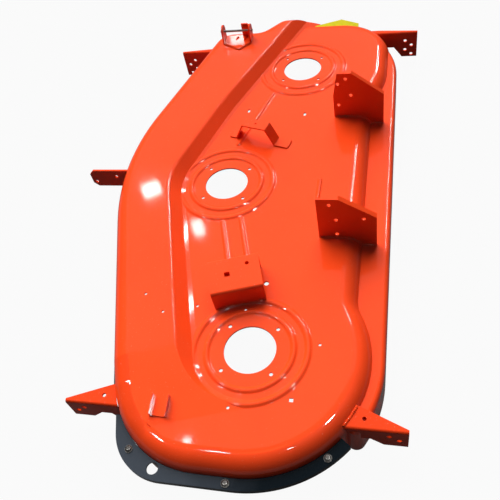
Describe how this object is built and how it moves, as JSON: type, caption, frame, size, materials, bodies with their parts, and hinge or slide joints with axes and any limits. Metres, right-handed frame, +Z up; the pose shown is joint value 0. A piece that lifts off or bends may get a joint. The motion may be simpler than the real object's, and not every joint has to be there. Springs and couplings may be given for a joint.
{
  "type": "lawn mower deck",
  "caption": "Bare pressed-steel mower deck shell with a raised front tunnel, spindle bores, wheel and link brackets and a black end bumper.",
  "frame": {"origin": "centre of the middle spindle bore on the top face of the deck", "axes": "+X to the discharge end (the right of the mower), +Y forward, +Z up along the spindle axes"},
  "size_m": [1.579, 0.9201, 0.266],
  "materials": {
    "orange_paint": "glossy orange enamel",
    "black_paint": "glossy black enamel",
    "zinc": "zinc plated"
  },
  "bodies": {
    "root": {"deck_shell": "orange_paint", "front_left_wheel_bracket": "orange_paint", "front_right_wheel_bracket": "orange_paint", "rear_left_wheel_bracket": "orange_paint", "rear_right_wheel_bracket": "orange_paint", "front_link_bracket": "orange_paint", "rear_left_link_bracket": "orange_paint", "rear_right_link_bracket": "orange_paint", "gearbox_bracket": "orange_paint", "idler_bridge": "orange_paint", "cover_hook": "orange_paint", "chute_hinge_bracket": "orange_paint", "chute_stop_plate": "orange_paint", "bumper_plate": "black_paint", "front_bumper_strip": "black_paint", "bumper_bolts": "zinc", "bumper_nuts": "zinc", "chute_hinge_pin": "zinc"}
  },
  "joints": []
}
